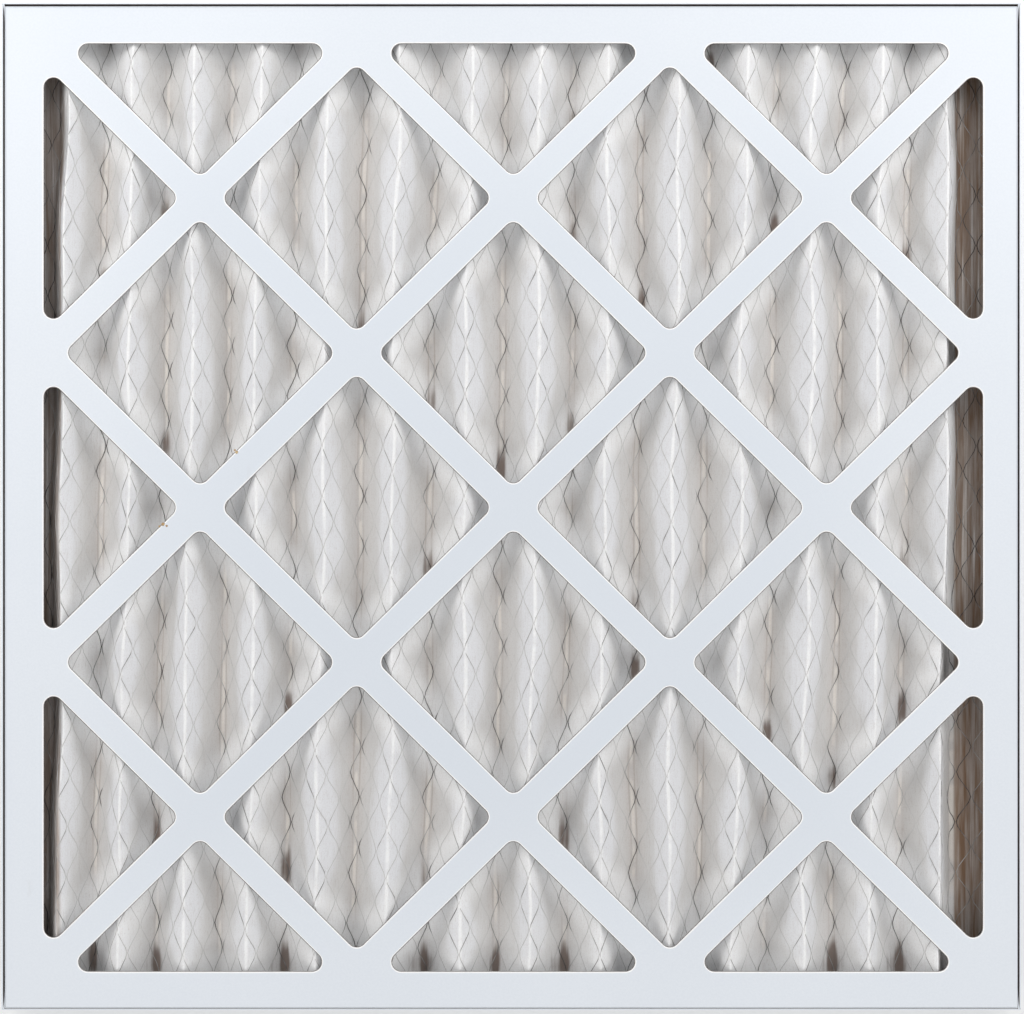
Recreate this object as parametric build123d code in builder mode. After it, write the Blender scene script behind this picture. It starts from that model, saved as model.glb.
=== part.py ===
"""Pleated panel air filter, nominal 20 x 20 x 1 inch, in millimetres.

The filter lies on its rear (air-entering) face. The front (air-leaving) face
looks up along +Z, the pleats run along Y, and the origin is under the centre
of the rear face.

Four pieces make it up:
  rear_tray      die-cut board tray, its lattice face below, walls folded up
  front_tray     a slightly smaller tray, upside down inside the rear one
  pleated_media  the folded filter sheet between the two lattice faces
  wire_backing   expanded metal, folded together with the media
"""

from build123d import *
import os
from math import ceil, floor, hypot, radians, tan

os.makedirs("parts", exist_ok=True)

# Overall size
overall_width = 495.3
overall_height = 489.5
overall_depth = 19.05

# Beverage board of the two trays
board_thickness = 0.7
board_bend_radius = 0.6
side_clearance = 0.85  # between the side walls of the nested trays, takes a glue tab
end_clearance = 0.55  # between the end walls of the nested trays, with no tab there
tray_shift_y = -0.45  # the front tray is pushed down against the lower end wall

# Glue tabs that close the corners of a tray
tab_length = 17.0
tab_tip_width = 9.0
tab_root_relief = 0.5  # from the fold of the face to the root of a tab
tab_tip_relief = 3.0  # from the fold of the face to the tip of a tab

# Lattice of diagonal strips in both faces
lattice_columns = 6  # half windows across
lattice_rows = 6  # half windows up
half_window_pitch_x = 76.1
half_window_pitch_y = 75.2
strip_width = 14.0
window_corner_radius = 4.8
lattice_shift_x = 1.0  # the die cuts a little off centre
lattice_shift_y = -0.5

# Pleats
pleat_pitch = 33.0
flange_width = 12.0  # least width of the flat flange beside the pleats
pleat_shift_x = -3.1  # the pleat pack sits a little to the left
pleat_lean = 0.8  # degrees, the folds drift to the left going down
media_thickness = 1.6
media_end_clearance = 0.4  # from the ends of the pleats to the front tray
media_side_clearance = 0.4  # from the flanges to the glue tabs

# Expanded metal
wire_thickness = 0.45
strand_width = 1.0
strand_margin = 2.3  # solid strand left at the ends of the sheet
diamond_length = 137.2  # along the pleats

# Levels from the rear face up
rear_face_top = board_thickness
front_face_bottom = overall_depth - board_thickness
valley_level = rear_face_top + media_thickness
ridge_level = front_face_bottom - wire_thickness

# The front tray stands inside the walls of the rear tray
front_tray_width = overall_width - 2 * (board_thickness + side_clearance)
front_tray_height = overall_height - 2 * (board_thickness + end_clearance)

# The media lies inside the front tray, clear of the glue tabs on its side walls
media_height = front_tray_height - 2 * (board_thickness + media_end_clearance)
media_side = front_tray_width / 2 - 2 * board_thickness - media_side_clearance

# The folds lean, so a point moves right by this much from mid height to the top end
lean_slope = tan(radians(pleat_lean))
lean_shift = lean_slope * media_height / 2
flange_end = media_side - lean_shift

# Places across the pleats, at mid height
half_pitch = pleat_pitch / 2
quarter_pitch = pleat_pitch / 4
pleat_room = 2 * (flange_end - abs(pleat_shift_x) - flange_width - quarter_pitch)
pleat_count = floor(pleat_room / pleat_pitch) + 1
first_ridge = pleat_shift_x - pleat_pitch * (pleat_count - 1) / 2
last_ridge = first_ridge + pleat_pitch * (pleat_count - 1)
first_foot = first_ridge - quarter_pitch
last_foot = last_ridge + quarter_pitch


def draw_windows() -> None:
    """Draw the windows between the strips in the sketch that is open."""
    diagonal = hypot(half_window_pitch_x, half_window_pitch_y)
    edge_distance = half_window_pitch_x * half_window_pitch_y / diagonal
    share = 1 - strip_width / 2 / edge_distance
    for column in range(lattice_columns + 1):
        for row in range(lattice_rows + 1):
            if (column + row) % 2 == 0:
                continue
            left = (-share * half_window_pitch_x, 0)
            right = (share * half_window_pitch_x, 0)
            low = (0, -share * half_window_pitch_y)
            high = (0, share * half_window_pitch_y)
            tips = [left, low, right, high]
            if column == 0:
                tips.remove(left)
            if column == lattice_columns:
                tips.remove(right)
            if row == 0:
                tips.remove(low)
            if row == lattice_rows:
                tips.remove(high)
            x = lattice_shift_x + (column - lattice_columns / 2) * half_window_pitch_x
            y = lattice_shift_y + (row - lattice_rows / 2) * half_window_pitch_y
            with Locations((x, y)):
                Polygon(*tips, align=None)


def draw_tab(root: float, side: int, fold_level: float, up: int, rim_level: float) -> None:
    """Draw one glue tab, tapering from its root on a wall, in the open sketch."""
    tip = root - side * tab_length
    tip_fold_edge = fold_level + up * tab_tip_relief
    Polygon(
        (root, fold_level + up * tab_root_relief),
        (tip, tip_fold_edge),
        (tip, tip_fold_edge + up * tab_tip_width),
        (root, rim_level),
        align=None,
    )


def pleat_corners() -> list[tuple[float, float]]:
    """Corners of the surface where media and metal meet, at the top end."""
    corners = [(-flange_end, valley_level), (first_foot, valley_level)]
    for pleat in range(pleat_count):
        ridge = first_ridge + pleat * pleat_pitch
        corners.append((ridge, ridge_level))
        corners.append((ridge + half_pitch, valley_level))
    corners[-1] = (last_foot, valley_level)
    corners.append((flange_end, valley_level))
    return [(x + lean_shift, z) for x, z in corners]


# Rear tray: lattice face below, four walls folded up round it
with BuildPart() as rear_tray:
    with BuildSketch(Plane.XY):
        Rectangle(overall_width, overall_height)
    extrude(amount=overall_depth)
    fillet(rear_tray.faces().sort_by(Axis.Z)[0].edges(), radius=board_bend_radius)
    with BuildSketch(Plane.XY.offset(rear_face_top)):
        Rectangle(
            overall_width - 2 * board_thickness, overall_height - 2 * board_thickness
        )
    extrude(amount=overall_depth, mode=Mode.SUBTRACT)
    for side in (-1, 1):
        wall_inside = overall_width / 2 - board_thickness
        with BuildSketch(Plane.YZ.offset(side * wall_inside)):
            for end in (-1, 1):
                root = end * (overall_height / 2 - board_thickness)
                draw_tab(root, end, rear_face_top, 1, overall_depth)
        extrude(amount=-side * board_thickness)
    with BuildSketch(Plane.XY) as rear_windows:
        draw_windows()
        fillet(rear_windows.vertices(), radius=window_corner_radius)
    extrude(amount=board_thickness, mode=Mode.SUBTRACT)
rear_tray.part.label = "rear_tray"
export_step(rear_tray.part, "parts/rear_tray.step")

# Front tray: lattice face on top, four walls folded down inside the rear tray
with BuildPart() as front_tray:
    with BuildSketch(Plane.XY.offset(rear_face_top)), Locations((0, tray_shift_y)):
        Rectangle(front_tray_width, front_tray_height)
    extrude(amount=overall_depth - rear_face_top)
    fillet(front_tray.faces().sort_by(Axis.Z)[-1].edges(), radius=board_bend_radius)
    with BuildSketch(Plane.XY.offset(rear_face_top)), Locations((0, tray_shift_y)):
        Rectangle(
            front_tray_width - 2 * board_thickness,
            front_tray_height - 2 * board_thickness,
        )
    extrude(amount=front_face_bottom - rear_face_top, mode=Mode.SUBTRACT)
    for side in (-1, 1):
        wall_inside = front_tray_width / 2 - board_thickness
        with BuildSketch(Plane.YZ.offset(side * wall_inside)):
            for end in (-1, 1):
                root = tray_shift_y + end * (front_tray_height / 2 - board_thickness)
                draw_tab(root, end, front_face_bottom, -1, rear_face_top)
        extrude(amount=-side * board_thickness)
    with BuildSketch(Plane.XY.offset(front_face_bottom)) as front_windows:
        draw_windows()
        fillet(front_windows.vertices(), radius=window_corner_radius)
    extrude(amount=board_thickness, mode=Mode.SUBTRACT)
front_tray.part.label = "front_tray"
export_step(front_tray.part, "parts/front_tray.step")

# Pleats run from the top end down, drifting to the left
pleat_middle = Plane((0, tray_shift_y, 0))
top_end = Plane.XZ.offset(-media_height / 2 - tray_shift_y)
pleat_direction = Vector(-lean_slope, -1, 0)
pleat_length = media_height * hypot(1, lean_slope)

# Pleated media: the sheet lies under the surface that it shares with the metal
with BuildPart() as pleated_media:
    with BuildSketch(top_end):
        with BuildLine():
            Polyline(*pleat_corners())
            offset(amount=media_thickness, side=Side.RIGHT, kind=Kind.ARC)
        make_face()
    extrude(amount=pleat_length, dir=pleat_direction)
pleated_media.part.label = "pleated_media"
export_step(pleated_media.part, "parts/pleated_media.step")

# Wire backing: expanded metal on top of that surface, its diamonds cut in plan.
# Their columns are centred on the ridges and on the valleys, half a row apart.
meshed_height = media_height - 2 * strand_margin
strand_spacing = half_pitch * diamond_length / hypot(pleat_pitch, diamond_length)
diamond_share = 1 - strand_width / 2 / strand_spacing
diamond_x = diamond_share * half_pitch
diamond_y = diamond_share * diamond_length / 2
diamond = [
    (-diamond_x, 0),
    (-lean_slope * diamond_y, -diamond_y),
    (diamond_x, 0),
    (lean_slope * diamond_y, diamond_y),
]
diamond_centres = []
for column in range(2 * pleat_count - 1):
    start = -meshed_height / 2 + diamond_length / 2 * (1 - column % 2)
    for row in range(ceil(meshed_height / diamond_length)):
        y = start + row * diamond_length
        x = first_ridge + column * half_pitch + lean_slope * y
        diamond_centres.append((x, y))

with BuildPart() as wire_backing:
    with BuildSketch(top_end):
        with BuildLine():
            Polyline(*pleat_corners())
            offset(amount=wire_thickness, side=Side.LEFT, kind=Kind.ARC)
        make_face()
    extrude(amount=pleat_length, dir=pleat_direction)
    with BuildSketch(pleat_middle):
        with Locations(*diamond_centres):
            Polygon(*diamond, align=None)
        Rectangle(overall_width, meshed_height, mode=Mode.INTERSECT)
    extrude(amount=overall_depth, mode=Mode.SUBTRACT)
wire_backing.part.label = "wire_backing"
export_step(wire_backing.part, "parts/wire_backing.step")
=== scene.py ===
"""Dresses the pleated panel air filter: board trays, folded media and its metal backing.

Everything is in metres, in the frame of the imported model: +Z is the air-leaving face,
+Y runs along the pleats and the origin is under the middle of the rear face.
"""

import logging
from dataclasses import dataclass, field
from enum import Enum
from math import cos, hypot, pi, radians, sin, tan

import bmesh
import bpy
import numpy as np
from mathutils import Matrix, Vector

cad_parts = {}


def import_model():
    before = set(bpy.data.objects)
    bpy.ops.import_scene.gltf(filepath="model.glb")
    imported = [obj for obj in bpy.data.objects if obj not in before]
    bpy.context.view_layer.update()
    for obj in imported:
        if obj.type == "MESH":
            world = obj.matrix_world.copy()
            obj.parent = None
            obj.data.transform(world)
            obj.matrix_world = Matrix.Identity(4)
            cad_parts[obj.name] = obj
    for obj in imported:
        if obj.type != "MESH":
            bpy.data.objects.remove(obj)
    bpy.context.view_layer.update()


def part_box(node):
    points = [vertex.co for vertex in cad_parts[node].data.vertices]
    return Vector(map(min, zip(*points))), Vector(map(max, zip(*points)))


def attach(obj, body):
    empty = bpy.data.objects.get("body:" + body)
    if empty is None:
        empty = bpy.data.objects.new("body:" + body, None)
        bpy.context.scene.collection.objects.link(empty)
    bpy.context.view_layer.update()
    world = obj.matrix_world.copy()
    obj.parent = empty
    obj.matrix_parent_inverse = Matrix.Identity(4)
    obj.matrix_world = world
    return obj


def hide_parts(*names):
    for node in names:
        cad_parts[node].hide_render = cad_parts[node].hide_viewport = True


log = logging.getLogger("filter")

MM = 0.001

# The lattice, as it is cut in both trays
PITCH_X = 76.1 * MM
PITCH_Y = 75.2 * MM
SHIFT_X = 1.0 * MM
SHIFT_Y = -0.5 * MM
STRIP = 14.0 * MM
WINDOW_RADIUS = 4.8 * MM
HALF_WINDOWS = 6
STRIP_SPACING = PITCH_X * PITCH_Y / hypot(PITCH_X, PITCH_Y)


class Coat(Enum):
    """The named finishes of the filter and of the floor under it."""

    BOARD = "tray_board"
    # dark cut edges: partly the board's fibre, partly painted shade
    CUT = "board_cut_edge"
    # painted highlight along the rounded edges of the windows
    EDGE_HIGHLIGHT = "board_edge_highlight"
    MEDIA = "filter_media"
    METAL = "backing_metal"
    GLUE = "glue"
    FLOOR = "studio_floor"


class Value:
    """A number socket that can be used in Python sums."""

    def __init__(self, maker: "NodeMaker", socket: bpy.types.NodeSocket) -> None:
        """Wrap one output socket."""
        self.maker = maker
        self.socket = socket

    def _math(self, operation: str, *terms: "Value | float") -> "Value":
        """Add one Math node and return its result."""
        return self.maker.value("ShaderNodeMath", {"operation": operation}, terms)

    def __add__(self, other: "Value | float") -> "Value":
        """Sum."""
        return self._math("ADD", self, other)

    def __radd__(self, other: float) -> "Value":
        """Sum with the number first."""
        return self._math("ADD", other, self)

    def __sub__(self, other: "Value | float") -> "Value":
        """Difference."""
        return self._math("SUBTRACT", self, other)

    def __rsub__(self, other: float) -> "Value":
        """Difference with the number first."""
        return self._math("SUBTRACT", other, self)

    def __mul__(self, other: "Value | float") -> "Value":
        """Product."""
        return self._math("MULTIPLY", self, other)

    def __rmul__(self, other: float) -> "Value":
        """Product with the number first."""
        return self._math("MULTIPLY", other, self)

    def size(self) -> "Value":
        """Absolute value."""
        return self._math("ABSOLUTE", self)

    def most(self, other: "Value | float") -> "Value":
        """The larger of two values."""
        return self._math("MAXIMUM", self, other)

    def ramp(self, low: float, high: float) -> "Value":
        """Smooth step from 0 at low to 1 at high.

        Args:
            low: value that becomes 0.
            high: value that becomes 1, which may be the smaller one.

        Returns:
            The eased value.
        """
        settings = {"interpolation_type": "SMOOTHSTEP"}
        if low > high:
            inputs = {"Value": self, "From Min": high, "From Max": low, "To Min": 1.0, "To Max": 0.0}
        else:
            inputs = {"Value": self, "From Min": low, "From Max": high}
        return self.maker.value("ShaderNodeMapRange", settings, inputs)


class NodeMaker:
    """Makes the nodes of one material, or of the world."""

    def __init__(self, name: str, world: bpy.types.World | None = None) -> None:
        """Start an empty node tree.

        Args:
            name: name of the material.
            world: the world that gets the nodes in place of a new material.
        """
        self.owner = world or bpy.data.materials.new(name)
        self.owner.use_nodes = True
        self.tree = self.owner.node_tree
        self.tree.nodes.clear()

    def node(self, kind: str, settings: dict | None = None, inputs: object = ()) -> bpy.types.Node:
        """Add one node.

        Args:
            kind: Blender's name of the node type.
            settings: properties of the node, set before its inputs.
            inputs: values or links, by place in a tuple or by socket name in a dict.

        Returns:
            The new node.
        """
        node = self.tree.nodes.new(kind)
        for name, setting in (settings or {}).items():
            setattr(node, name, setting)
        pairs = inputs.items() if isinstance(inputs, dict) else enumerate(inputs)
        for key, item in pairs:
            socket = node.inputs[key]
            if isinstance(item, Value):
                self.tree.links.new(item.socket, socket)
            elif isinstance(item, bpy.types.NodeSocket):
                self.tree.links.new(item, socket)
            else:
                socket.default_value = item
        return node

    def value(self, kind: str, settings: dict | None, inputs: object) -> Value:
        """Add a node and wrap its first output."""
        return Value(self, self.node(kind, settings, inputs).outputs[0])

    def place(self) -> bpy.types.NodeSocket:
        """Position of the shaded point in the object's own frame, in metres."""
        return self.node("ShaderNodeTexCoord").outputs["Object"]

    def painted(self, name: str) -> Value:
        """A value painted on the points of the mesh."""
        settings = {"attribute_name": name, "attribute_type": "GEOMETRY"}
        return Value(self, self.node("ShaderNodeAttribute", settings).outputs["Fac"])

    def axes(self) -> tuple[Value, Value, Value]:
        """The three coordinates of the shaded point, in metres."""
        split = self.node("ShaderNodeSeparateXYZ", None, (self.place(),))
        return tuple(Value(self, out) for out in split.outputs)

    def stretched(self, scale: tuple[float, float, float]) -> bpy.types.NodeSocket:
        """Object position times a scale on each axis.

        Args:
            scale: repeats in each metre on X, Y and Z.

        Returns:
            A vector socket.
        """
        settings = {"operation": "MULTIPLY"}
        return self.node("ShaderNodeVectorMath", settings, (self.place(), scale)).outputs[0]

    def noise(self, scale: tuple[float, float, float], detail: float = 3.0, rough: float = 0.5) -> Value:
        """Noise of a given grain.

        Args:
            scale: grains in each metre on X, Y and Z.
            detail: number of finer layers.
            rough: strength of the finer layers.

        Returns:
            A value about 0.5.
        """
        inputs = {"Vector": self.stretched(scale), "Scale": 1.0, "Detail": detail, "Roughness": rough}
        return self.value("ShaderNodeTexNoise", {"noise_dimensions": "3D"}, inputs)

    def blend(self, share: Value, low: object, high: object) -> bpy.types.NodeSocket:
        """Mix two colours.

        Args:
            share: 0 gives low, 1 gives high.
            low: colour triple or socket.
            high: colour triple or socket.

        Returns:
            A colour socket.
        """
        mix = self.node("ShaderNodeMix", {"data_type": "RGBA", "clamp_factor": True}, {0: share})
        for key, item in ((6, low), (7, high)):
            if isinstance(item, bpy.types.NodeSocket):
                self.tree.links.new(item, mix.inputs[key])
            else:
                mix.inputs[key].default_value = (*item, 1.0)
        return mix.outputs[2]

    def bump(self, height: Value, depth: float, strength: float = 1.0) -> bpy.types.NodeSocket:
        """Bump from a height.

        Args:
            height: 0 to 1.
            depth: what a height of 1 stands for, in metres.
            strength: share of the bump that shows.

        Returns:
            A normal socket.
        """
        inputs = {"Height": height, "Distance": depth, "Strength": strength}
        return self.node("ShaderNodeBump", None, inputs).outputs[0]

    def finish(
        self, colour: object, rough: object, normal: object = None, **constants: float
    ) -> bpy.types.Material:
        """Close the tree with one Principled shader.

        Args:
            colour: base colour triple or socket.
            rough: roughness number or Value.
            normal: normal socket, if any.
            constants: other sockets of the shader by name, with _ for a space.

        Returns:
            The finished material.
        """
        shader = self.node("ShaderNodeBsdfPrincipled")
        entries = {"Base Color": colour, "Roughness": rough}
        if normal is not None:
            entries["Normal"] = normal
        entries.update({name.replace("_", " "): number for name, number in constants.items()})
        for name, item in entries.items():
            socket = shader.inputs[name]
            if isinstance(item, Value):
                self.tree.links.new(item.socket, socket)
            elif isinstance(item, bpy.types.NodeSocket):
                self.tree.links.new(item, socket)
            else:
                socket.default_value = (*item, 1.0) if isinstance(item, tuple) else item
        output = self.node("ShaderNodeOutputMaterial")
        self.tree.links.new(shader.outputs[0], output.inputs[0])
        return self.owner


@dataclass(frozen=True)
class BoardFinish:
    """White clay-coated beverage board, faintly blue, with faint scuffs and painted shade towards its
    middle.
    """

    light: tuple[float, float, float] = (0.79, 0.828, 0.878)
    dull: tuple[float, float, float] = (0.755, 0.795, 0.85)
    middle_shade: tuple[float, float, float] = (0.675, 0.725, 0.79)
    scuff: tuple[float, float, float] = (0.60, 0.60, 0.61)

    def build(self) -> bpy.types.Material:
        """Make the material."""
        maker = NodeMaker(Coat.BOARD.value)
        x, y, _ = maker.axes()
        cloud = maker.noise((9.0, 9.0, 9.0), 2.0)
        grain = maker.noise((900.0, 900.0, 900.0), 2.0, 0.6)
        marks = maker.noise((60.0, 25.0, 60.0), 5.0, 0.65).ramp(0.66, 0.78)
        mottle = cloud.ramp(0.35, 0.68) * 0.4 + grain.ramp(0.3, 0.7) * 0.6
        base = maker.blend(mottle, self.dull, self.light)
        # painted shade: the board is darkened towards its middle, standing in for the light falling off
        # there
        base = maker.blend(x.size().most(y.size()).ramp(0.235, 0.12) * 0.5, base, self.middle_shade)
        colour = maker.blend(marks * 0.16, base, self.scuff)
        rough = 0.42 + grain * 0.2 + marks * 0.1
        normal = maker.bump(grain, 0.00004, 0.5)
        return maker.finish(colour, rough, normal, Specular_IOR_Level=0.35)


@dataclass(frozen=True)
class CutFinish:
    """Raw die-cut edge of the board: its grey fibre middle, darkened to near black as painted shade
    along the window edges.
    """

    core_and_shade: tuple[float, float, float] = (0.10, 0.08, 0.07)
    pale: tuple[float, float, float] = (0.26, 0.23, 0.21)

    def build(self) -> bpy.types.Material:
        """Make the material."""
        maker = NodeMaker(Coat.CUT.value)
        fibre = maker.noise((1500.0, 1500.0, 4000.0), 3.0)
        # the near-black colour is partly the board's own fibre and partly painted shade
        colour = maker.blend(fibre.ramp(0.35, 0.7), self.core_and_shade, self.pale)
        return maker.finish(colour, 0.85 + fibre * 0.1, maker.bump(fibre, 0.00006))


@dataclass(frozen=True)
class EdgeHighlightFinish:
    """Rounded brink of a die-cut edge, with a painted highlight: near white, smooth and bright."""

    bright: tuple[float, float, float] = (1.0, 1.0, 1.0)
    plain: tuple[float, float, float] = (0.93, 0.945, 0.96)

    def build(self) -> bpy.types.Material:
        """Make the material."""
        maker = NodeMaker(Coat.EDGE_HIGHLIGHT.value)
        nick = maker.noise((260.0, 260.0, 260.0), 3.0)
        # painted highlight: the rounded brink is near white
        colour = maker.blend(nick.ramp(0.3, 0.5), self.plain, self.bright)
        return maker.finish(colour, 0.3 + nick * 0.1, maker.bump(nick, 0.00002))


@dataclass(frozen=True)
class MediaFinish:
    """Lofted felt with long fibres along the pleats, white on the ridges and warm in the folds; the
    pleats carry painted light, painted highlights and painted shade.
    """

    painted_highlight: tuple[float, float, float] = (0.99, 0.99, 0.99)
    ridge: tuple[float, float, float] = (0.825, 0.83, 0.85)
    shaded_flank: tuple[float, float, float] = (0.66, 0.65, 0.64)
    fold: tuple[float, float, float] = (0.675, 0.645, 0.62)
    valley_shadow: tuple[float, float, float] = (0.17, 0.115, 0.09)
    speck_and_shade: tuple[float, float, float] = (0.27, 0.17, 0.11)
    valley_light: tuple[float, float, float] = (0.93, 0.87, 0.80)

    def build(self) -> bpy.types.Material:
        """Make the material."""
        maker = NodeMaker(Coat.MEDIA.value)
        x, y, _ = maker.axes()
        fold = maker.painted("fold")
        valley_shadow = maker.painted("valley_shadow")
        shelter = maker.painted("shelter")
        streak = maker.noise((520.0, 26.0, 90.0), 4.0, 0.6)
        cloud = maker.noise((55.0, 22.0, 55.0), 3.0)
        loft = fold + (cloud - 0.5) * 0.3
        narrow = loft + shelter * 0.3 + (streak - 0.5) * 0.2
        # painted light and shade: a lit band along each ridge that narrows under the strips, the sides
        # of the pleats in a darker shaded colour
        body = maker.blend(narrow.ramp(0.3, 0.62), self.ridge, self.shaded_flank)
        # the folds get a warm colour: partly dust, partly painted shade
        body = maker.blend(loft.ramp(0.6, 1.0), body, self.fold)
        # painted highlight: a thin white line, broken in places, along each ridge top in the windows
        broken = maker.noise((30.0, 110.0, 30.0), 2.0).ramp(0.36, 0.52)
        line = fold.ramp(0.065, 0.03) * (0.35 + broken * 0.65) * shelter.ramp(1.0, 0.6)
        body = maker.blend(line * 0.8, body, self.painted_highlight)
        # painted light: a faint pale line along the bottom of each valley
        valley_light = fold.ramp(0.94, 0.975) * maker.noise((25.0, 60.0, 25.0), 2.0).ramp(0.4, 0.55)
        body = maker.blend(valley_light * 0.6, body, self.valley_light)
        # painted shade: a dark line along the crease near the bottom of each valley
        crease_shade = (fold - 0.915).size().ramp(0.03, 0.0) * cloud.ramp(0.3, 0.6)
        body = maker.blend(crease_shade * 0.28, body, self.speck_and_shade)
        # painted shade: the folds under the strips are darkened
        strip_shade = shelter.ramp(0.6, 1.0) * fold.ramp(0.4, 0.9) * (streak * 0.22)
        body = maker.blend(strip_shade, body, self.speck_and_shade)
        # painted light: the felt beside and under the strips is whitened, except under painted shadow
        body = maker.blend(shelter.ramp(0.35, 0.95) * (1 - valley_shadow) * 0.75, body, self.painted_highlight)
        # painted light: the windows of the top and bottom rows are lightened
        body = maker.blend(y.size().ramp(0.19, 0.222) * 0.32, body, self.painted_highlight)
        # painted shadow: dark ragged patches in the valleys, above the lower edges of the windows
        band = maker.noise((170.0, 7.0, 60.0), 2.0)
        ragged = valley_shadow * 1.15 + (streak - 0.5) * 0.9 + (band - 0.5) * 1.2
        shadow_mask = valley_shadow.ramp(0.0, 0.35) * (ragged.ramp(0.25, 0.75) * 0.75 + 0.08)
        colour = maker.blend(shadow_mask, body, self.valley_shadow)
        # painted shade: the steep end legs seen through the end slots are darkened, less on the left
        end = (x + 0.4 * MM).size().ramp(0.2186, 0.2202)
        pale = maker.noise((700.0, 9.0, 200.0), 2.0).ramp(0.56, 0.66)
        left = x.ramp(0.0, -0.2) * 0.2
        colour = maker.blend(end * (0.8 - left + (streak - 0.5) * 1.3 - pale * 0.4), colour, self.speck_and_shade)
        # fibre specks in the felt's own colour
        grain = maker.noise((1900.0, 1300.0, 1900.0), 2.0, 0.7)
        fibre = maker.noise((1500.0, 210.0, 1500.0), 3.0, 0.65)
        speckle = grain.ramp(0.48, 0.72) * 0.14 + fibre.ramp(0.5, 0.72) * 0.12
        colour = maker.blend(speckle, colour, self.speck_and_shade)
        fuzz = maker.noise((2600.0, 300.0, 2600.0), 3.0)
        normal = maker.bump(streak * 0.7 + fuzz * 0.3, 0.0006, 0.6)
        return maker.finish(colour, 0.95, normal, Specular_IOR_Level=0.1, Sheen_Weight=0.15)


@dataclass(frozen=True)
class MetalFinish:
    """Thin dull galvanised strand, bare in places and felted over with fibres elsewhere."""

    bare: tuple[float, float, float] = (0.07, 0.062, 0.06)
    worn: tuple[float, float, float] = (0.16, 0.15, 0.145)
    felted: tuple[float, float, float] = (0.60, 0.59, 0.58)

    def build(self) -> bpy.types.Material:
        """Make the material."""
        maker = NodeMaker(Coat.METAL.value)
        spangle = maker.noise((400.0, 120.0, 400.0), 3.0)
        bare = maker.painted("bare") + (spangle - 0.5) * 0.5
        metal = maker.blend(spangle.ramp(0.4, 0.62), self.bare, self.worn)
        colour = maker.blend(bare.ramp(0.3, 0.9), self.felted, metal)
        shine = bare.ramp(0.3, 0.9) * 0.4
        return maker.finish(colour, 0.65 + spangle * 0.2, maker.bump(spangle, 0.00003), Metallic=shine)


@dataclass(frozen=True)
class GlueFinish:
    """Amber adhesive that has squeezed out of a joint."""

    clear: tuple[float, float, float] = (0.62, 0.47, 0.25)
    dark: tuple[float, float, float] = (0.35, 0.20, 0.08)

    def build(self) -> bpy.types.Material:
        """Make the material."""
        maker = NodeMaker(Coat.GLUE.value)
        swirl = maker.noise((900.0, 900.0, 900.0), 2.0)
        colour = maker.blend(swirl.ramp(0.35, 0.65), self.dark, self.clear)
        return maker.finish(colour, 0.3 + swirl * 0.1, maker.bump(swirl, 0.0001))


@dataclass(frozen=True)
class FloorFinish:
    """Plain white sweep, with the faintest mottling."""

    pale: tuple[float, float, float] = (0.97, 0.97, 0.97)
    grey: tuple[float, float, float] = (0.95, 0.95, 0.95)

    def build(self) -> bpy.types.Material:
        """Make the material."""
        maker = NodeMaker(Coat.FLOOR.value)
        cloud = maker.noise((3.0, 3.0, 3.0), 2.0)
        return maker.finish(maker.blend(cloud, self.grey, self.pale), 0.9, Specular_IOR_Level=0.1)


class Wardrobe:
    """Builds each finish once and hands it out."""

    def __init__(self) -> None:
        """Build every finish."""
        makers = {
            Coat.BOARD: BoardFinish(),
            Coat.CUT: CutFinish(),
            Coat.EDGE_HIGHLIGHT: EdgeHighlightFinish(),
            Coat.MEDIA: MediaFinish(),
            Coat.METAL: MetalFinish(),
            Coat.GLUE: GlueFinish(),
            Coat.FLOOR: FloorFinish(),
        }
        self.materials = {coat: maker.build() for coat, maker in makers.items()}

    def dress(self, piece: bpy.types.Object, *coats: Coat) -> None:
        """Give a piece its material slots.

        Args:
            piece: mesh object.
            coats: finishes in the order of the mesh's material numbers.
        """
        for coat in coats:
            piece.data.materials.append(self.materials[coat])


def new_object(name: str, mesh: bpy.types.Mesh) -> bpy.types.Object:
    """Put a mesh in the scene as an object at the origin."""
    piece = bpy.data.objects.new(name, mesh)
    bpy.context.scene.collection.objects.link(piece)
    return piece


def grid_faces(rows: int, columns: int, start: int = 0, flip: bool = False) -> np.ndarray:
    """Quads of a grid of points stored row by row.

    Args:
        rows: number of point rows.
        columns: number of points in a row.
        start: number of the first point.
        flip: turn the faces over.

    Returns:
        Array of four point numbers for each quad.
    """
    i, j = np.meshgrid(np.arange(rows - 1), np.arange(columns - 1), indexing="ij")
    corner = (i * columns + j).ravel() + start
    quads = np.stack([corner, corner + 1, corner + columns + 1, corner + columns], 1)
    return quads[:, ::-1] if flip else quads


def mesh_from(name: str, points: np.ndarray, quads: np.ndarray, smooth: bool) -> bpy.types.Mesh:
    """Make a mesh from arrays.

    Args:
        name: name of the mesh.
        points: rows of X, Y, Z.
        quads: rows of four point numbers.
        smooth: shade it smooth.

    Returns:
        The mesh.
    """
    mesh = bpy.data.meshes.new(name)
    mesh.vertices.add(len(points))
    mesh.vertices.foreach_set("co", points.astype(np.float32).ravel())
    mesh.loops.add(quads.size)
    mesh.loops.foreach_set("vertex_index", quads.astype(np.int32).ravel())
    mesh.polygons.add(len(quads))
    mesh.polygons.foreach_set("loop_start", np.arange(0, quads.size, 4, dtype=np.int32))
    mesh.polygons.foreach_set("use_smooth", np.full(len(quads), smooth))
    mesh.update(calc_edges=True)
    mesh.validate()
    return mesh


def paint(mesh: bpy.types.Mesh, name: str, values: np.ndarray) -> None:
    """Store one value for each point of a mesh."""
    layer = mesh.attributes.new(name, "FLOAT", "POINT")
    layer.data.foreach_set("value", values.astype(np.float32).ravel())


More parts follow.
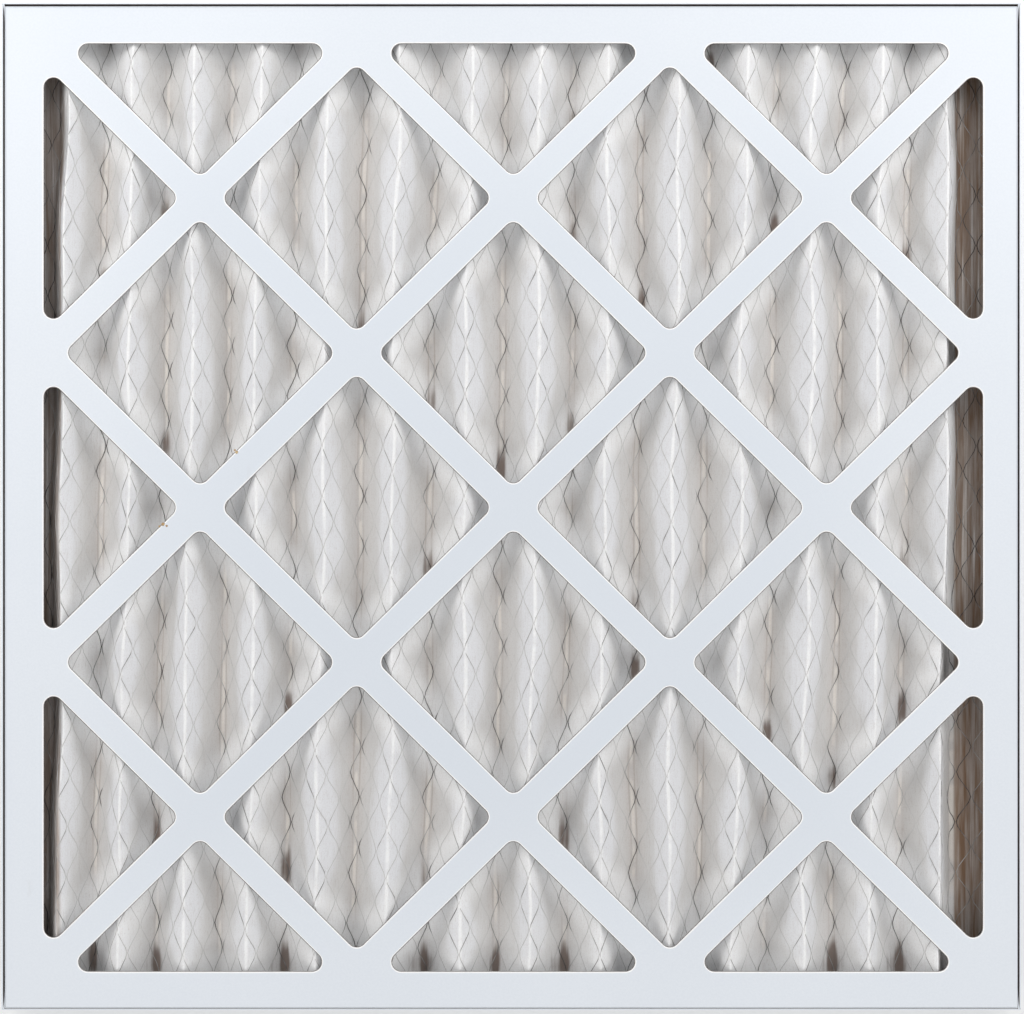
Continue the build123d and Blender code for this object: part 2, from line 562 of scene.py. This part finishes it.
def eased(values: np.ndarray, low: float, high: float) -> np.ndarray:
    """Smooth step from 0 at low to 1 at high."""
    share = np.clip((values - low) / (high - low), 0.0, 1.0)
    return share * share * (3 - 2 * share)


def openness(x: np.ndarray, y: np.ndarray) -> np.ndarray:
    """How far a place is from the strips and the border of the lattice.

    Args:
        x: places across the pleats.
        y: places along the pleats.

    Returns:
        0 under the board and 1 in the middle of a window.
    """
    a, b = (x - SHIFT_X) / PITCH_X, (y - SHIFT_Y) / PITCH_Y
    rising = np.abs((a + b + 1) % 2 - 1)
    falling = np.abs((a - b + 1) % 2 - 1)
    strips = np.minimum(rising, falling) * STRIP_SPACING
    half = HALF_WINDOWS / 2
    border = np.minimum((half - np.abs(a)) * PITCH_X, (half - np.abs(b)) * PITCH_Y)
    return eased(strips, STRIP * 0.35, STRIP * 2.3) * eased(border, -STRIP * 0.2, STRIP * 1.2)


@dataclass
class PleatPack:
    """The folded media and the metal laid on it.

    The section parameter u is a whole number at each fold: 0 at the first foot, 1 at
    the first ridge, 2 at the first valley, and so on; below 0 and past the last foot
    it runs along the flat flanges.
    """

    wardrobe: Wardrobe
    pitch: float = 33.0 * MM
    count: int = 14
    shift: float = -3.1 * MM
    lean: float = 0.8
    media_thickness: float = 1.3 * MM
    board: float = 0.7 * MM
    # Some of the folds bow to the left, and each end of a fold strays a little by chance
    bow: float = -7.0 * MM
    bow_ridge: float = 3.5
    bow_reach: float = 2.7
    stray: float = 1.0 * MM
    stray_at: float = 150.0 * MM
    # Share of the places in a fold, above the edge of a window, that get a patch of painted shadow
    shadow_share: float = 0.4
    border_shadow_share: float = 0.9
    top_shadow_share: float = 0.4
    border_zone: float = 22.0 * MM
    # Waves of the ridges from side to side: length and greatest reach of each
    wave_lengths: tuple[float, ...] = (310 * MM, 150 * MM, 72 * MM)
    wave_reach: tuple[float, ...] = (1.0 * MM, 0.8 * MM, 0.45 * MM)
    seed: int = 7
    leg_steps: tuple[float, ...] = (0.0, 0.035, 0.08, 0.16, 0.27, 0.4, 0.54, 0.68, 0.82, 0.93, 1.0)
    rows: int = 151
    wire_width: float = 0.30 * MM
    wire_height: float = 0.24 * MM
    diamond: float = 24.8 * MM
    columns_per_leg: float = 3.5
    low: Vector = field(init=False)
    high: Vector = field(init=False)

    def __post_init__(self) -> None:
        """Read the room from the frame and draw the random waves."""
        self.low, self.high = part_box("pleated_media")
        self.middle_y = (self.low.y + self.high.y) / 2
        self.legs = 2 * self.count
        rng = np.random.default_rng(self.seed)
        self.wave_phase = rng.uniform(0, 2 * pi, (self.count, 3))
        self.wave_size = rng.uniform(0.5, 1.0, (self.count, 3))
        self.valley_phase = rng.uniform(0, 2 * pi, (self.legs + 4, 2))
        chance = np.random.default_rng(self.seed + 1)
        ridges = np.arange(self.count)
        bowed = self.bow * np.exp(-(((ridges - self.bow_ridge) / self.bow_reach) ** 2))
        self.stray_top, self.stray_low = bowed + chance.uniform(-self.stray, self.stray, (2, self.count))
        self.shadow_patches = self.place_valley_shadows(chance)

    def ridge_x(self, ridge: np.ndarray, y: np.ndarray) -> np.ndarray:
        """Place of a ridge across the filter.

        Args:
            ridge: number of the ridge, from 0.
            y: place along it.

        Returns:
            X of the crease.
        """
        even = self.shift + (ridge - (self.count - 1) / 2) * self.pitch
        slope = tan(radians(self.lean))
        share = np.clip((y / self.stray_at + 1) / 2, -0.2, 1.2)
        top, low = self.stray_top[ridge], self.stray_low[ridge]
        wobble = np.zeros_like(y, float)
        for k, (length, reach) in enumerate(zip(self.wave_lengths, self.wave_reach)):
            phase, size = self.wave_phase[ridge, k], self.wave_size[ridge, k]
            wobble = wobble + size * reach * np.sin(2 * pi * y / length + phase)
        ends = eased(self.high.y - np.abs(y - self.middle_y), 0.0, 25 * MM) * 0.6 + 0.4
        return even + slope * (y - self.middle_y) + low + (top - low) * share + wobble * ends

    def surface(self, u: np.ndarray, y: np.ndarray) -> np.ndarray:
        """Points of the surface that media and metal share.

        Args:
            u: section parameter.
            y: places along the pleats, as many as u.

        Returns:
            Rows of X, Y, Z.
        """
        base_low = self.board + self.media_thickness + 0.1 * MM
        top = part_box("front_tray")[1].z - self.board - 0.75 * MM
        inside = np.clip(u, 0, self.legs)
        leg = np.minimum(np.floor(inside).astype(int), self.legs - 1)
        share = inside - leg
        rising = leg % 2 == 0
        from_ridge = np.where(rising, 1 - share, share)
        ridge = leg // 2
        other = np.clip(np.where(rising, ridge - 1, ridge + 1), 0, self.count - 1)
        here = self.ridge_x(ridge, y)
        there = self.ridge_x(other, y)
        foot = here + np.where(rising, -1, 1) * self.pitch * 0.25
        end_leg = (leg == 0) | (leg == self.legs - 1)
        bottom = np.where(end_leg, foot, (here + there) / 2)
        x = here + (bottom - here) * from_ridge
        open_here = openness(x, y)
        open_ridge = openness(here, y)
        plump = np.where(end_leg, 0.15, 0.35 + 0.6 * open_here)
        straight = 1 - from_ridge
        belly = 0.5 + 0.5 * np.cos(pi * from_ridge**0.92)
        pinched = straight**1.12
        shape = pinched + (belly - pinched) * plump
        crease = np.exp(-((from_ridge / 0.035) ** 2)) * 0.35 * MM
        lift = 0.85 * MM * open_ridge
        phase = self.valley_phase[leg, 0]
        sag = 0.45 * MM * np.sin(2 * pi * y / (95 * MM) + phase) * np.sin(pi * from_ridge)
        z = base_low + (top + lift - base_low) * shape
        z = z + crease * (0.4 + 0.6 * open_ridge) + sag * open_here
        sway = np.sin(2 * pi * y / (120 * MM) + self.valley_phase[leg, 1])
        shove = 0.9 * MM * sway * np.sin(pi * from_ridge)
        x = x + shove * open_here
        flange_left = np.clip(-u, 0, 1)
        flange_right = np.clip(u - self.legs, 0, 1)
        x = x + flange_left * (self.low.x - x) + flange_right * (self.high.x - x)
        return np.stack([x, y, z], -1)

    def fold_share(self, u: np.ndarray) -> np.ndarray:
        """0 at the ridges and 1 at the feet, the valleys and on the flanges."""
        inside = np.clip(u, 0, self.legs)
        return np.where((u < 0) | (u > self.legs), 1.0, np.abs((inside % 2) - 1))

    def place_valley_shadows(self, chance: np.random.Generator) -> list[tuple[float, float, float, float, float]]:
        """Choose where patches of painted shadow lie: in the valleys, above the lower edges of windows.

        Args:
            chance: source of the random draws.

        Returns:
            X, Y, half width, half height and strength of each mark.
        """
        marks = []
        y = np.linspace(self.high.y, self.low.y, 1200)
        for valley in range(1, self.count):
            before, after = (np.full(y.shape, number) for number in (valley - 1, valley))
            x = (self.ridge_x(before, y) + self.ridge_x(after, y)) / 2
            clear = openness(x, y) > 0.04
            for place in np.flatnonzero(clear[:-1] & ~clear[1:]):
                low_border = y[place] < self.low.y + self.border_zone
                toward_right = (x[place] - self.low.x) / (self.high.x - self.low.x)
                share = self.border_shadow_share if low_border else self.shadow_share * (0.35 + toward_right)
                keep, wide, tall, strength = chance.random(4)
                if keep > share:
                    continue
                if low_border:
                    marks.append((x[place], y[place], 2.1 * MM, 11 * MM, 0.8))
                    marks.append((x[place] - 1 * MM, y[place], 8 * MM, 9 * MM, 0.36))
                else:
                    size = (2.1 + 1.6 * wide) * MM, (7 + 8 * tall) * MM
                    marks.append((x[place], y[place], *size, 0.45 + 0.3 * strength))
            # painted shadow near the top end of some valleys
            if chance.random() < self.top_shadow_share:
                marks.append((x[0], self.high.y - 10 * MM, 4.5 * MM, 9 * MM, 0.4))
        return marks

    def shadow_at(self, x: np.ndarray, y: np.ndarray) -> np.ndarray:
        """Strength of the painted shadow at a place.

        Args:
            x: places across the pleats.
            y: places along the pleats.

        Returns:
            0 to 1.
        """
        total = np.zeros_like(x)
        for centre_x, centre_y, wide, tall, strength in self.shadow_patches:
            spread = ((x - centre_x) / wide) ** 4 + ((y - centre_y) / tall) ** 2
            total = np.maximum(total, strength * np.exp(-spread))
        return total

    def normals(self, u: np.ndarray, y: np.ndarray) -> np.ndarray:
        """Unit normals of the surface, pointing to the air-leaving side."""
        step_u, step_y = 0.02, 0.5 * MM
        across = self.surface(u + step_u, y) - self.surface(u - step_u, y)
        along = self.surface(u, y + step_y) - self.surface(u, y - step_y)
        normal = np.cross(across, along)
        return normal / np.maximum(np.linalg.norm(normal, axis=-1, keepdims=True), 1e-12)

    def section_steps(self) -> np.ndarray:
        """Section parameters of the media's grid, closer together at the folds."""
        steps = [-1.0, -0.7, -0.35, -0.12]
        for leg in range(self.legs):
            marks = self.leg_steps[:-1]
            marks = marks if leg % 2 else tuple(1 - m for m in reversed(self.leg_steps[1:]))
            steps.extend(leg + m for m in marks)
        last = self.legs
        steps.extend([last, last + 0.12, last + 0.35, last + 0.7, last + 1.0])
        return np.array(steps)

    def build_media(self) -> bpy.types.Object:
        """Make the felt sheet, with its thickness and raw ends."""
        u = self.section_steps()
        y = np.linspace(self.low.y, self.high.y, self.rows)
        grid_y, grid_u = np.meshgrid(y, u, indexing="ij")
        flat_u, flat_y = grid_u.ravel(), grid_y.ravel()
        top = self.surface(flat_u, flat_y)
        normal = self.normals(flat_u, flat_y)
        normal[:, 1] = 0
        normal /= np.maximum(np.linalg.norm(normal, axis=1, keepdims=True), 1e-9)
        under = top - normal * self.media_thickness
        rows, columns = grid_u.shape
        count = rows * columns
        rim = np.concatenate([
            np.arange(columns), np.arange(1, rows) * columns + columns - 1,
            (rows - 1) * columns + np.arange(columns - 2, -1, -1),
            np.arange(rows - 2, 0, -1) * columns,
        ])
        after = np.roll(rim, -1)
        edge = np.stack([rim, rim + count, after + count, after], 1)
        quads = np.concatenate([grid_faces(rows, columns), grid_faces(rows, columns, count, True), edge])
        mesh = mesh_from("pleated_felt", np.concatenate([top, under]), quads, True)
        paint(mesh, "fold", np.tile(self.fold_share(flat_u), 2))
        paint(mesh, "shelter", np.tile(1 - openness(top[:, 0], flat_y), 2))
        paint(mesh, "valley_shadow", np.tile(self.shadow_at(top[:, 0], flat_y), 2))
        piece = new_object("pleated_felt", mesh)
        self.wardrobe.dress(piece, Coat.MEDIA)
        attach(piece, "root")
        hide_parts("pleated_media")
        return piece

    def strand_wave(self, y: np.ndarray, phase: float) -> np.ndarray:
        """Sideways swing of a strand between its two rows of knuckles.

        Args:
            y: places along the strand.
            phase: 0 or 0.5 of a diamond.

        Returns:
            -1 to 1, flat for a short way at both ends of the swing.
        """
        turn = ((y - self.low.y) / self.diamond + phase) % 1
        swing = 1 - np.abs(turn * 2 - 1) * 2
        return np.clip(swing * 1.28, -1, 1)

    def bareness(
        self, u: np.ndarray, y: np.ndarray, phase: float, rng: np.random.Generator
    ) -> np.ndarray:
        """How far a strand stands clear of the fibres.

        Args:
            u: section parameters along the strand.
            y: places along the strand.
            phase: 0 or 0.5 of a diamond.
            rng: source of chance.

        Returns:
            0 where felt covers it and 1 where it is bare.
        """
        fold = self.fold_share(u)
        turn = ((y - self.low.y) / self.diamond + phase) % 0.5
        knuckle = np.minimum(turn, 0.5 - turn) * 2
        in_valley = eased(fold, 0.62, 0.95) * (1 - 0.55 * eased(knuckle, 0.2, 0.6))
        arc = eased(knuckle, 0.08, 0.2) * (1 - eased(knuckle, 0.4, 0.62))
        by_ridge = (1 - eased(fold, 0.2, 0.45)) * arc
        chance = np.interp(y, np.linspace(self.low.y, self.high.y, 46), rng.uniform(0.35, 1.15, 46))
        return np.clip(0.1 + (0.9 * in_valley + 0.5 * by_ridge) * chance, 0, 1)

    def build_wire(self) -> bpy.types.Object:
        """Make the expanded metal as flat strands that meet at their knuckles."""
        rng = np.random.default_rng(self.seed + 1)
        marks = (0.0, 0.11, 0.2, 0.3, 0.39, 0.5, 0.61, 0.7, 0.8, 0.89)
        wholes = int((self.high.y - self.low.y) / self.diamond) + 1
        y = np.array([self.low.y + (k + m) * self.diamond for k in range(wholes) for m in marks])
        y = y[(y > self.low.y + MM) & (y < self.high.y - MM)]
        first = -0.75
        strands = int((self.legs + 1.5) * self.columns_per_leg)
        half = 0.5 / self.columns_per_leg
        points, quads, cover, start = [], [], [], 0
        for strand in range(strands):
            centre = first + (strand + 0.5) / self.columns_per_leg
            swing = self.strand_wave(y, 0.5 * (strand % 2))
            u = centre + swing * (half - 0.012)
            path = self.surface(u, y)
            normal = self.normals(u, y)
            ahead = np.gradient(path, axis=0)
            ahead /= np.linalg.norm(ahead, axis=1, keepdims=True)
            side = np.cross(ahead, normal)
            side /= np.linalg.norm(side, axis=1, keepdims=True)
            drift = 0.16 * np.sin(2 * pi * y / (61 * MM) + rng.uniform(0, 2 * pi))
            drift = drift + 0.12 * np.sin(2 * pi * y / (23 * MM) + rng.uniform(0, 2 * pi))
            bare = self.bareness(u, y, 0.5 * (strand % 2), rng)
            proud = ((-0.02 + 0.2 * bare + drift * 0.3) * MM)[:, None]
            middle = path + normal * proud
            wide = side * self.wire_width / 2
            tall = normal * self.wire_height / 2
            below, above = middle - tall, middle + tall
            ring = np.stack([below - wide, below + wide, above + wide, above - wide], 1)
            points.append(ring.reshape(-1, 3))
            cover.append(np.repeat(bare, 4))
            count = len(y)
            index = np.arange(count * 4).reshape(count, 4) + start
            for k in range(4):
                n = (k + 1) % 4
                quads.append(np.stack([index[:-1, k], index[:-1, n], index[1:, n], index[1:, k]], 1))
            quads.append(np.array([index[0, ::-1], index[-1]]))
            start += count * 4
        mesh = mesh_from("expanded_metal", np.concatenate(points), np.concatenate(quads), False)
        paint(mesh, "bare", np.concatenate(cover))
        piece = new_object("expanded_metal", mesh)
        self.wardrobe.dress(piece, Coat.METAL)
        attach(piece, "root")
        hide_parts("wire_backing")
        log.info("metal: %d strands, %d quads", strands, len(mesh.polygons))
        return piece


@dataclass
class Tray:
    """One die-cut tray: a lattice face, four folded walls and its glue tabs."""

    wardrobe: Wardrobe
    node: str
    name: str
    face_up: bool
    board: float = 0.7 * MM
    bevel: float = 0.2 * MM
    # Width of the soft roll that the punch leaves round every window
    roll: float = 0.6 * MM
    # How far the punch drags the inner half of a window's edge into the window
    drag: float = 0.3 * MM
    arc_steps: int = 10
    tab_length: float = 17.0 * MM
    tab_tip: float = 9.0 * MM
    # From the fold of the face to a tab, at its root and at its tip
    root_relief: float = 0.5 * MM
    tip_relief: float = 3.0 * MM

    def __post_init__(self) -> None:
        """Read the size of the tray from the frame."""
        self.low, self.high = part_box(self.node)

    def windows(self) -> list[list[tuple[float, float]]]:
        """Corners of every window before rounding."""
        share = 1 - STRIP / 2 / STRIP_SPACING
        found = []
        for column in range(HALF_WINDOWS + 1):
            for row in range(HALF_WINDOWS + 1):
                if (column + row) % 2 == 0:
                    continue
                middle = (column - HALF_WINDOWS / 2, row - HALF_WINDOWS / 2)
                tips = [(-share, 0), (0, -share), (share, 0), (0, share)]
                outer = [column == 0, row == 0, column == HALF_WINDOWS, row == HALF_WINDOWS]
                found.append([
                    (SHIFT_X + (middle[0] + a) * PITCH_X, SHIFT_Y + (middle[1] + b) * PITCH_Y)
                    for (a, b), cut in zip(tips, outer) if not cut
                ])
        return found

    def rounded(self, corners: list[tuple[float, float]], radius: float) -> list[tuple[float, float]]:
        """Round the corners of a closed outline.

        Args:
            corners: corners in order.
            radius: radius of every corner.

        Returns:
            Points of the rounded outline.
        """
        points = []
        for k, corner in enumerate(corners):
            here = Vector(corner)
            back = (Vector(corners[k - 1]) - here).normalized()
            ahead = (Vector(corners[(k + 1) % len(corners)]) - here).normalized()
            half = back.angle(ahead) / 2
            centre = here + (back + ahead).normalized() * radius / sin(half)
            start = here + back * radius / tan(half) - centre
            turn = pi - 2 * half
            sense = 1 if start.x * (here - centre).y - start.y * (here - centre).x > 0 else -1
            for step in range(self.arc_steps + 1):
                angle = sense * turn * step / self.arc_steps
                x = start.x * cos(angle) - start.y * sin(angle)
                y = start.x * sin(angle) + start.y * cos(angle)
                points.append((centre.x + x, centre.y + y))
        return points

    def face_plate(self) -> bpy.types.Mesh:
        """Make the lattice face as a bevelled plate."""
        curve = bpy.data.curves.new(self.name + "_outline", "CURVE")
        curve.dimensions = "2D"
        curve.fill_mode = "BOTH"
        curve.extrude = self.bevel / 4
        curve.bevel_depth = self.roll
        curve.bevel_resolution = 2
        curve.offset = -self.roll
        low, high = self.low, self.high
        outer = [(low.x, low.y), (high.x, low.y), (high.x, high.y), (low.x, high.y)]
        outlines = [self.rounded(outer, 0.5 * MM)]
        outlines += [self.rounded(corners, WINDOW_RADIUS) for corners in self.windows()]
        for outline in outlines:
            spline = curve.splines.new("POLY")
            spline.points.add(len(outline) - 1)
            spline.points.foreach_set("co", [n for x, y in outline for n in (x, y, 0.0, 1.0)])
            spline.use_cyclic_u = True
        holder = bpy.data.objects.new(self.name + "_outline", curve)
        bpy.context.scene.collection.objects.link(holder)
        shaped = holder.evaluated_get(bpy.context.evaluated_depsgraph_get())
        mesh = bpy.data.meshes.new_from_object(shaped)
        bpy.data.objects.remove(holder)
        bpy.data.curves.remove(curve)
        mesh.transform(Matrix.Diagonal((1, 1, self.board / 2 / (self.roll + self.bevel / 4), 1)))
        return mesh

    def build(self) -> bpy.types.Object:
        solid = bmesh.new()
        solid.from_mesh(self.face_plate())
        bmesh.ops.remove_doubles(solid, verts=solid.verts, dist=1e-6)
        bmesh.ops.recalc_face_normals(solid, faces=solid.faces)
        solid.normal_update()
        self.finish_edges(solid)
        middle = self.high.z - self.board / 2 if self.face_up else self.low.z + self.board / 2
        bmesh.ops.translate(solid, verts=solid.verts, vec=(0, 0, middle))
        self.add_walls(solid)
        bmesh.ops.recalc_face_normals(solid, faces=solid.faces)
        # painted shade: the inner faces of the walls, away from the lattice, get the near-black cut
        # finish
        for face in solid.faces:
            centre = face.calc_center_median()
            inward = face.normal.x * centre.x + face.normal.y * centre.y < 0
            if abs(face.normal.z) < 0.3 and inward and abs(centre.z - middle) > self.board:
                face.material_index = 1
        mesh = bpy.data.meshes.new(self.name)
        solid.to_mesh(mesh)
        solid.free()
        piece = new_object(self.name, mesh)
        self.wardrobe.dress(piece, Coat.BOARD, Coat.CUT, Coat.EDGE_HIGHLIGHT)
        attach(piece, "root")
        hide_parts(self.node)
        log.info("%s: %d faces", self.name, len(mesh.polygons))
        return piece

    def finish_edges(self, solid: bmesh.types.BMesh) -> None:
        """Mark the dark cut faces and the painted-highlight faces round the windows and drag their inner
        half in.

        Args:
            solid: the lattice face, lying about its own middle.
        """
        outward = 1 if self.face_up else -1
        inner_x = min(-self.low.x, self.high.x) - 3 * MM
        inner_y = min(-self.low.y, self.high.y) - 3 * MM
        dragged = {}
        for face in solid.faces:
            centre = face.calc_center_median()
            lean = face.normal.z * outward
            if abs(centre.x) > inner_x or abs(centre.y) > inner_y or abs(lean) > 0.995:
                continue
            # faces that lean up get the painted highlight; steep ones get the dark cut finish, partly
            # painted shade
            face.material_index = 2 if lean > 0.2 else 1
            for vert in face.verts:
                if vert.co.z * outward < 0:
                    dragged[vert] = Vector((vert.normal.x, vert.normal.y, 0)).normalized()
        for vert, way in dragged.items():
            vert.co += way * self.drag

    def add_walls(self, solid: bmesh.types.BMesh) -> None:
        """Add the four walls and the glue tabs to the tray's mesh."""
        board = self.board
        near = self.low.z + (0 if self.face_up else board * 0.5)
        far = self.high.z - (board * 0.5 if self.face_up else 0)
        for sign in (-1, 1):
            edge_x = self.high.x if sign > 0 else self.low.x
            inner_x = edge_x - sign * board
            self.plate(solid, (inner_x, self.low.y + board, near), (edge_x, self.high.y - board, far))
            edge_y = self.high.y if sign > 0 else self.low.y
            self.plate(solid, (self.low.x, edge_y - sign * board, near), (self.high.x, edge_y, far))
            for side in (-1, 1):
                self.tab(solid, side, sign)

    def plate(self, solid: bmesh.types.BMesh, low: tuple, high: tuple) -> None:
        """Add one board wall with softened edges.

        Args:
            solid: mesh that grows.
            low: one corner.
            high: the opposite corner.
        """
        low, high = np.minimum(low, high), np.maximum(low, high)
        made = bmesh.ops.create_cube(solid, size=1.0)["verts"]
        for vert in made:
            vert.co = Vector(tuple((low + high) / 2 + np.array(vert.co) * (high - low)))
        edges = list({edge for vert in made for edge in vert.link_edges})
        bmesh.ops.bevel(solid, geom=edges, offset=self.bevel, segments=2, affect="EDGES", profile=0.6)

    def tab(self, solid: bmesh.types.BMesh, side: int, end: int) -> None:
        """Add one tapering glue tab in a corner of the tray.

        Args:
            solid: mesh that grows.
            side: -1 on the left, 1 on the right.
            end: -1 at the lower end, 1 at the upper end.
        """
        board = self.board
        wall = (self.high.x if side > 0 else self.low.x) - side * board
        root = (self.high.y if end > 0 else self.low.y) - end * board
        if self.face_up:
            fold, rim, up = self.high.z - board, self.low.z, -1
        else:
            fold, rim, up = self.low.z + board, self.high.z, 1
        tip_fold = fold + up * self.tip_relief
        outline = [
            (root, fold + up * self.root_relief), (root - end * self.tab_length, tip_fold),
            (root - end * self.tab_length, tip_fold + up * self.tab_tip), (root, rim),
        ]
        rows = [[solid.verts.new((x, y, z)) for y, z in outline] for x in (wall, wall - side * board)]
        solid.faces.new(rows[0])
        solid.faces.new(rows[1][::-1])
        for k in range(4):
            n = (k + 1) % 4
            solid.faces.new((rows[0][k], rows[1][k], rows[1][n], rows[0][n]))


@dataclass
class GlueSpecks:
    """A few beads of glue that show at the edges of two strips."""

    wardrobe: Wardrobe
    # X, Y and radius of each bead, in millimetres
    places: tuple[tuple[float, float, float], ...] = (
        (-133.4, 26.4, 0.8), (-134.3, 27.4, 0.5),
        (-169.2, -8.6, 0.9), (-167.4, -9.4, 0.6), (-171.0, -9.6, 0.5),
    )

    def build(self) -> bpy.types.Object:
        """Make the beads as flattened lumps on the front face."""
        rng = np.random.default_rng(3)
        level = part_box("front_tray")[1].z
        solid = bmesh.new()
        for x, y, radius in self.places:
            made = bmesh.ops.create_icosphere(solid, subdivisions=2, radius=radius * MM)["verts"]
            for vert in made:
                vert.co *= rng.uniform(0.85, 1.1)
                vert.co.z *= 0.45
                vert.co += Vector((x * MM, y * MM, level - 0.05 * MM))
        mesh = bpy.data.meshes.new("glue_beads")
        solid.to_mesh(mesh)
        solid.free()
        mesh.polygons.foreach_set("use_smooth", np.ones(len(mesh.polygons), bool))
        piece = new_object("glue_beads", mesh)
        self.wardrobe.dress(piece, Coat.GLUE)
        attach(piece, "root")
        log.info("glue: %d faces", len(mesh.polygons))
        return piece


@dataclass
class Studio:
    """Floor, lights and camera."""

    wardrobe: Wardrobe
    picture_width: float = 497.5 * MM
    camera_height: float = 0.9
    sensor: float = 36.0
    aim: tuple[float, float] = (0.36 * MM, -0.24 * MM)
    world_strength: float = 0.4
    # Ring of eight lamps round the filter, with stronger ones at its two upper corners
    lamp_count: int = 8
    fill_power: float = 0.42
    key_power: float = 1.1
    key_bearings: tuple[int, ...] = (45, 135)
    ring_radius: float = 0.55
    ring_height: float = 0.4
    lamp_size: float = 0.35

    def build(self) -> None:
        """Make the whole studio."""
        self.add_floor()
        self.add_world()
        self.add_lamps()
        self.add_camera()
        bpy.context.scene.view_settings.view_transform = "Standard"

    def add_floor(self) -> None:
        """Make a wide floor under the filter."""
        steps = np.linspace(-3.0, 3.0, 13)
        grid_y, grid_x = np.meshgrid(steps, steps, indexing="ij")
        points = np.stack([grid_x.ravel(), grid_y.ravel(), np.full(grid_x.size, -0.0002)], 1)
        floor = new_object("floor", mesh_from("floor", points, grid_faces(13, 13), False))
        self.wardrobe.dress(floor, Coat.FLOOR)

    def add_world(self) -> None:
        """Light the filter evenly from all round, with a white background."""
        world = bpy.data.worlds.new("studio")
        bpy.context.scene.world = world
        maker = NodeMaker(world.name, world)
        path = maker.node("ShaderNodeLightPath")
        rays = (path.outputs["Is Camera Ray"], path.outputs["Is Glossy Ray"])
        seen = maker.node("ShaderNodeMath", {"operation": "MAXIMUM"}, rays)
        pure = (1.0, 1.0, 1.0, 1.0)
        dim = maker.node("ShaderNodeBackground", None, (pure, self.world_strength))
        white = maker.node("ShaderNodeBackground", None, (pure, 1.0))
        parts = (seen.outputs[0], dim.outputs[0], white.outputs[0])
        mix = maker.node("ShaderNodeMixShader", None, parts)
        maker.node("ShaderNodeOutputWorld", None, (mix.outputs[0],))

    def add_lamps(self) -> None:
        """Stand soft lamps round the filter, strongest at the upper end."""
        for bearing in range(0, 360, 360 // self.lamp_count):
            lamp = bpy.data.lights.new("lamp", "AREA")
            lamp.shape = "DISK"
            lamp.size = self.lamp_size
            lamp.energy = self.key_power if bearing in self.key_bearings else self.fill_power
            angle = radians(bearing)
            across, along = self.ring_radius * cos(angle), self.ring_radius * sin(angle)
            place = Vector((across, along, self.ring_height))
            holder = bpy.data.objects.new("lamp", lamp)
            holder.location = place
            holder.rotation_euler = (-place).to_track_quat("-Z", "Y").to_euler()
            bpy.context.scene.collection.objects.link(holder)

    def add_camera(self) -> None:
        """Hang the camera square over the front face."""
        lens = bpy.data.cameras.new("camera")
        lens.sensor_width = self.sensor
        lens.lens = self.sensor * self.camera_height / self.picture_width
        lens.clip_start = 0.01
        camera = bpy.data.objects.new("camera", lens)
        camera.location = (*self.aim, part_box("front_tray")[1].z + self.camera_height)
        bpy.context.scene.collection.objects.link(camera)
        bpy.context.scene.camera = camera


def corners(box: tuple[Vector, Vector]) -> list[list[float]]:
    """A box as plain lists of numbers."""
    return [list(map(float, corner)) for corner in box]


def main() -> None:
    """Build the studio and every piece of the filter."""
    logging.basicConfig(level=logging.INFO, format="%(message)s")
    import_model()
    wardrobe = Wardrobe()
    Studio(wardrobe).build()
    Tray(wardrobe, "rear_tray", "rear_board", face_up=False).build()
    Tray(wardrobe, "front_tray", "front_board", face_up=True).build()
    pack = PleatPack(wardrobe)
    pack.build_media()
    pack.build_wire()
    GlueSpecks(wardrobe).build()


if __name__ == "__main__":
    main()
